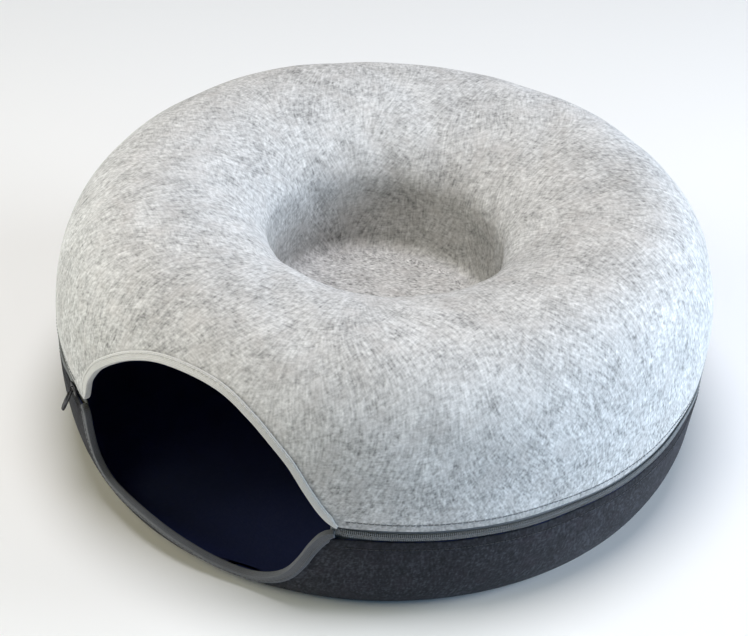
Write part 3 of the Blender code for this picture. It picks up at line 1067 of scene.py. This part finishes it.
def felt_finish(name, shades, tint, inner, contrast, relief, sheen):
    """Heathered felt: short fibres of several greys, most of them drawn out along the mould.

    It is darker along its sewn edge: painted shade of the edge turned under, together with the darker
    tone of pressed felt. The inner skin is mixed towards a colour of its own; on the charcoal felt that
    colour is a navy which paints the bluish cast of the shaded interior.
    """
    made = Finish(name, Roughness=0.95, Specular_IOR_Level=0.2, Sheen_Weight=sheen, Sheen_Roughness=0.6)
    where = made.place()
    strands = made.streaks("lay", scale=620.0, length=0.0054, samples=7)
    crossing = made.streaks("cross", scale=700.0, length=0.0036, samples=5)
    flecks = made.streaks("lay", scale=480.0, length=0.0050, samples=5)
    clumps = made.noise(where, 270.0, 1.0)
    grit = made.noise(where, 1300.0, 0.0)
    blotch = made.noise(where, 45.0, 2.0)
    cloud = made.noise(where, 11.0, 1.0)
    heather = (strands - 0.5) * 1.9 + (crossing - 0.5) * 1.2 + (clumps - 0.5) * 1.4 + (grit - 0.5) * 0.4
    level = heather * contrast + (blotch - 0.5) * 0.5 + (cloud - 0.5) * 0.35 + 0.5
    level = level - flecks.above(0.58, 0.72) * 0.22 * contrast
    stops = list(zip((0.0, 0.5, 1.0), shades))
    colour = made.node("ShaderNodeValToRGB", level, settings={"stops": stops})
    hue = made.noise(where, 60.0, 2.0)
    colour = made.mix(hue.above(0.45, 0.75) * 0.35, colour, tint)
    from_edge = made.attribute("from_edge", "Fac")
    # Painted shade: the band along the sewn edge is mixed towards the darkest grey, for the edge turned
    # under, together with the darker tone of pressed felt
    colour = made.mix(0.30 - from_edge.above(0.0050, 0.0080) * 0.30, colour, shades[0])
    # The inner skin is mixed towards the given inner colour; for the charcoal felt this is a navy that
    # paints the bluish cast of its shaded interior
    colour = made.mix(made.attribute("inside", "Fac") * 0.85, colour, inner)
    height = strands * 0.6 + crossing * 0.4 + clumps * 0.5 + grit * 0.15
    return made.finish(colour, height=height, strength=relief, distance=0.0010)


def tape_finish(name, dark, light, rib):
    """Woven tape: fine ribs across it, and warp threads along it."""
    made = Finish(name, Roughness=0.85, Sheen_Weight=0.15)
    where = made.attribute("weave")
    along = made.node("ShaderNodeSeparateXYZ", where, output=0)
    across = made.node("ShaderNodeSeparateXYZ", where, output=1)
    fuzz = made.noise(made.place(), 1400.0, 2.0)
    wobble = (made.noise(where, 300.0, 1.0) - 0.5) * 1.6
    phase = across * (tau / rib)
    ribs = (along * (tau / rib) + wobble + phase.sine() * 1.2).sine() * 0.5 + 0.5
    warp = phase.sine() * 0.5 + 0.5
    weave = ribs * 0.6 + warp * 0.4
    colour = made.mix(weave * 0.7 + (fuzz - 0.5) * 0.8, dark, light)
    return made.finish(colour, height=weave + fuzz * 0.5, strength=0.5, distance=0.0003)


def thread_finish(name, dark, light):
    """Spun sewing thread."""
    made = Finish(name, Roughness=0.7, Sheen_Weight=0.1)
    fibre = made.noise(made.place(), 2500.0, 2.0)
    return made.finish(made.mix(fibre, dark, light), height=fibre, strength=0.4, distance=0.0002)


def coil_finish():
    """Satin nylon of the teeth."""
    made = Finish("nylon_teeth", Roughness=0.42)
    speck = made.noise(made.place(), 700.0, 2.0)
    colour = made.mix(speck, (0.12, 0.13, 0.135), (0.26, 0.27, 0.28))
    return made.finish(colour, roughness=speck * 0.3 + 0.3)


def metal_finish():
    """Dark metal with a little wear."""
    made = Finish("dark_slider_metal", Metallic=0.85)
    wear = made.noise(made.place(), 420.0, 3.0)
    colour = made.mix(wear.above(0.5, 0.8), (0.030, 0.030, 0.033), (0.12, 0.12, 0.125))
    fine = made.noise(made.place(), 1500.0, 2.0)
    return made.finish(colour, roughness=wear * 0.3 + 0.25, height=fine, strength=0.15, distance=0.0001)


# ---- slider and pull


def slider_frame():
    """Axes at the slider: X along the zip, Y up the wall, Z outwards."""
    angle = radians(SLIDER_ANGLE)
    run = float(seam_run(angle))
    along, up, outward = (Vector(way) for way in directions(angle, run))
    turn = Matrix((along, up, outward)).transposed()
    return Matrix.Translation(Vector(place(angle, run))) @ turn.to_4x4()


def rounded_box(size, centre, bevel):
    """A block with rounded edges, as a bmesh."""
    data = bmesh.new()
    bmesh.ops.create_cube(data, size=1.0)
    for vert in data.verts:
        vert.co = Vector([c * s for c, s in zip(vert.co, size)]) + Vector(centre)
    bmesh.ops.bevel(data, geom=data.edges[:], offset=bevel, segments=3, affect="EDGES", profile=0.5)
    return data


def rounded_loop(width, length, powers, steps):
    """Points of a superellipse round the origin, as x and y."""
    loop = []
    for spin in np.linspace(0.0, tau, steps, endpoint=False):
        c, s = cos(spin), sin(spin)
        x = width / 2 * copysign(abs(c) ** powers[0], c)
        loop.append((x, length / 2 * copysign(abs(s) ** powers[1], s)))
    return loop


def tube(points, radius):
    """A closed wire through the points, as a bmesh."""
    data = bmesh.new()
    points = np.asarray(points, dtype=float)
    along = unit(np.gradient(points, axis=0))
    helper = np.array([0.0, 0.3, 1.0])
    rings = []
    for spot, way in zip(points, along):
        first = unit(np.cross(way, helper))
        second = np.cross(way, first)
        ring = []
        for spin in np.linspace(0.0, tau, TUBE_SIDES, endpoint=False):
            offset = (first * cos(spin) + second * sin(spin)) * radius
            ring.append(data.verts.new(spot + offset))
        rings.append(ring)
    closed_bar(data, rings)
    return data


def join(name, parts, turn, finish):
    """Several bmeshes as one piece, moved into place."""
    whole = bmesh.new()
    for part in parts:
        scratch = to_mesh("scratch", part)
        whole.from_mesh(scratch)
        bpy.data.meshes.remove(scratch)
    whole.transform(turn)
    return add_mesh(name, whole, finish)


def make_slider(turn, finish):
    """Slider body: two waisted plates with eased edges, a neck, and a bail."""
    tape_back = FELT_AT_EDGE + CLEAR + TAPE_THICK
    front = CLEAR - COIL_DEPTH[0] + PLATE / 2
    back = -tape_back - CLEAR - PLATE / 2
    taken, middle, width = SLIDER_WAIST
    shape = []
    for x, y in rounded_loop(SLIDER_LENGTH, SLIDER_WIDTH, SLIDER_POWERS, steps=40):
        shape.append((x, y * (1.0 - taken * exp(-(((x - middle) / width) ** 2)))))
    layers = ((PLATE_EASE, -PLATE / 2), (1.0, -PLATE_FLAT), (1.0, PLATE_FLAT), (PLATE_EASE, PLATE / 2))
    parts = []
    for height in (front, back):
        body = bmesh.new()
        rings = []
        for inset, z in layers:
            rings.append([body.verts.new((x * inset, y * inset, height + z)) for x, y in shape])
        closed_bar(body, rings)
        parts.append(body)
    parts.append(rounded_box((*NECK, front - back), (NECK_AHEAD, 0.0, (front + back) / 2), NECK_BEVEL))
    bow = []
    for spin in np.linspace(pi, 0.0, BAIL_STEPS):
        rise = (BAIL_RISE - BAIL_EASE) * sin(spin) ** BAIL_POWER
        bow.append((0.0, BAIL_HALF_SPAN * cos(spin), front + BAIL_FEET + rise))
    parts.append(tube(bow, BAIL_BAR / 2))
    return join("zip_slider_body", parts, turn, finish)


def make_pull(turn, finish):
    """A flat tab with a rounded foot and an eye, hung from the bail and tilted a little outwards."""
    plate_face = PLATE - COIL_DEPTH[0] + CLEAR
    hang = Matrix.Translation((0.0, 0.0, plate_face + (BAIL_RISE - BAIL_BAR) / 2))
    tilt = Matrix.Rotation(radians(-PULL_TILT), 4, "X")
    half = PULL_THICK / 2
    outer = []
    for x, y in rounded_loop(PULL_WIDTH, PULL_LENGTH, PULL_POWERS, steps=48):
        narrow = 1.0 - PULL_NARROWS * smooth(y / PULL_LENGTH - PULL_NARROWS_FROM)
        outer.append((x * narrow, y - PULL_LENGTH / 2 + half))
    inner = [(x, y - PULL_EYE_DROP) for x, y in rounded_loop(*PULL_EYE, (1, 1), steps=48)]
    data = bmesh.new()
    walls = []
    for shape in (outer, inner):
        walls.append([[data.verts.new((x, y, z)) for x, y in shape] for z in (-half, half)])
    for rings in (*walls, *zip(*walls)):
        skin(data, rings)
    bmesh.ops.recalc_face_normals(data, faces=data.faces)
    sharp = [e for e in data.edges if e.calc_face_angle(0.0) > 1.0]
    bmesh.ops.bevel(data, geom=sharp, offset=PULL_BEVEL, segments=2, affect="EDGES")
    return join("zip_pull_tab", [data], turn @ hang @ tilt, finish)


# ---- the cave


light_felt = felt_finish(
    "heathered_light_felt",
    shades=((0.19, 0.19, 0.19), (0.525, 0.525, 0.525), (0.82, 0.82, 0.82)),
    tint=(0.55, 0.53, 0.52),
    inner=(0.50, 0.50, 0.50),
    contrast=0.58,
    relief=0.28,
    sheen=0.03,
)
charcoal_felt = felt_finish(
    "mottled_charcoal_felt",
    shades=((0.006, 0.0066, 0.0090), (0.0185, 0.020, 0.0260), (0.050, 0.052, 0.064)),
    tint=(0.027, 0.021, 0.030),
    # Navy inner skin: a painted bluish cast of the shaded interior, over the felt's own dark tone
    inner=(0.012, 0.023, 0.118),
    contrast=0.70,
    relief=0.22,
    sheen=0.04,
)
light_tape = tape_finish("light_binding_tape", (0.50, 0.50, 0.49), (0.78, 0.78, 0.77), 0.0011)
grey_binding = tape_finish("grey_binding_tape", (0.06, 0.066, 0.078), (0.15, 0.157, 0.178), 0.0011)
grey_tape = tape_finish("grey_zip_tape", (0.09, 0.10, 0.105), (0.24, 0.25, 0.26), 0.0008)
dark_thread = thread_finish("dark_grey_thread", (0.10, 0.105, 0.11), (0.24, 0.25, 0.26))
charcoal_thread = thread_finish("charcoal_thread", (0.012, 0.013, 0.017), (0.035, 0.037, 0.044))
grey_thread = thread_finish("grey_thread", (0.07, 0.075, 0.085), (0.13, 0.138, 0.155))
light_thread = thread_finish("light_thread", (0.42, 0.42, 0.42), (0.74, 0.74, 0.73))
teeth = coil_finish()
metal = metal_finish()

upper = felt_sheet("upper_felt", column_angles(arch_edge), arch_edge, 1, light_felt)
finish_piece(upper, "light_felt", "top_shell")
lower = felt_sheet("lower_felt", column_angles(scoop_edge), scoop_edge, -1, charcoal_felt)
finish_piece(lower, "charcoal_felt", "bottom_shell")

arch_tape = make_binding("arch_tape", arch_edge, 1, ARCH_FLAP, ARCH_BINDING_ENDS, light_tape)
finish_piece(arch_tape, "light_tape", "arch_binding")
scoop_tape = make_binding("scoop_tape", scoop_edge, -1, SCOOP_FLAP, SCOOP_BINDING_ENDS, grey_binding)
finish_piece(scoop_tape, "grey_tape", "scoop_binding")

upper_tape = finish_piece(make_tape("upper_zip_tape", 1, grey_tape), "grey_tape", "zip_tape_upper")
lower_tape = finish_piece(make_tape("lower_zip_tape", -1, grey_tape), "grey_tape", "zip_tape_lower")
finish_piece(make_coil("upper_teeth", 1, teeth), "grey_coil", "zip_coil_upper")
finish_piece(make_coil("lower_teeth", -1, teeth), "grey_coil", "zip_coil_lower")

axes = slider_frame()
finish_piece(make_slider(axes, metal), "dark_metal", "zip_slider")
finish_piece(make_pull(axes, metal), "dark_metal", "zip_pull")

upper_row = rim_stitch_points(arch_edge, 1)
lower_row = rim_stitch_points(scoop_edge, -1)
upper_sewing = sew("upper_rim_stitches", upper_row, dark_thread, UPPER_LIFT, "grey_tape")
lower_sewing = sew("lower_rim_stitches", lower_row, charcoal_thread, LIFT, "grey_tape")
arch_row = binding_stitch_points(arch_edge, 1, ARCH_BINDING_ENDS)
scoop_row = binding_stitch_points(scoop_edge, -1, SCOOP_BINDING_ENDS)
arch_sewing = sew("arch_stitches", arch_row, light_thread, LIFT, "light_tape")
scoop_sewing = sew("scoop_stitches", scoop_row, grey_thread, LIFT, "grey_tape")

seam_angles = zip_angles(step=0.004)
zip_length = float(lengths_along(place(seam_angles, seam_run(seam_angles)))[-1])


# ---- floor, light and camera


def make_floor():
    mesh = bpy.data.meshes.new("floor")
    reach = 30.0
    corners = [(-reach, -reach, 0), (reach, -reach, 0), (reach, reach, 0), (-reach, reach, 0)]
    mesh.from_pydata(corners, [], [(0, 1, 2, 3)])
    made = Finish("pale_floor", Roughness=0.9, Specular_IOR_Level=0.1)
    shade = made.noise(made.place(), 3.0, 2.0)
    mesh.materials.append(made.finish(made.mix(shade, (0.86, 0.86, 0.86), (0.88, 0.88, 0.88))))
    floor = link("floor", mesh)


def direction(azimuth, elevation):
    """The unit vector at angles in degrees: round the object from its front, and above the floor."""
    turn = radians(azimuth)
    rise = radians(elevation)
    return Vector((sin(turn) * cos(rise), -cos(turn) * cos(rise), sin(rise)))


def add_light(name, around, above, power, colour):
    """A soft round lamp, by its angle round the object from the camera's side and its elevation."""
    way = direction(VIEW_AZIMUTH + around, above)
    data = bpy.data.lights.new(name, "AREA")
    data.shape = "DISK"
    data.size = LAMP_WIDTH
    data.energy = power
    data.color = colour
    lamp = link(name, data)
    lamp.location = Vector(VIEW_TARGET) + way * LAMP_DISTANCE
    lamp.rotation_euler = way.to_track_quat("Z", "Y").to_euler()


def make_world():
    world = bpy.data.worlds.new("studio")
    world.use_nodes = True
    background = world.node_tree.nodes["Background"]
    background.inputs["Color"].default_value = (0.85, 0.93, 1.0, 1.0)
    background.inputs["Strength"].default_value = 0.03
    bpy.context.scene.world = world


def make_camera():
    back = direction(VIEW_AZIMUTH, VIEW_ELEVATION)
    level = back.to_track_quat("Z", "Y").to_matrix()
    data = bpy.data.cameras.new("camera")
    data.sensor_width = SENSOR
    data.lens = FOCAL_PIXELS / PHOTO_WIDTH * SENSOR
    data.shift_x = (PHOTO_WIDTH / 2 - AXIS_PIXEL[0]) / PHOTO_WIDTH
    data.shift_y = (AXIS_PIXEL[1] - PHOTO_HEIGHT / 2) / PHOTO_WIDTH
    camera = link("camera", data)
    turn = level @ Matrix.Rotation(radians(VIEW_ROLL), 3, "Z")
    camera.matrix_world = Matrix.Translation(Vector(VIEW_TARGET) + back * VIEW_DISTANCE) @ turn.to_4x4()
    bpy.context.scene.camera = camera


make_floor()
make_world()
make_camera()
for lamp in LAMPS:
    add_light(*lamp)
bpy.context.scene.view_settings.view_transform = "Standard"
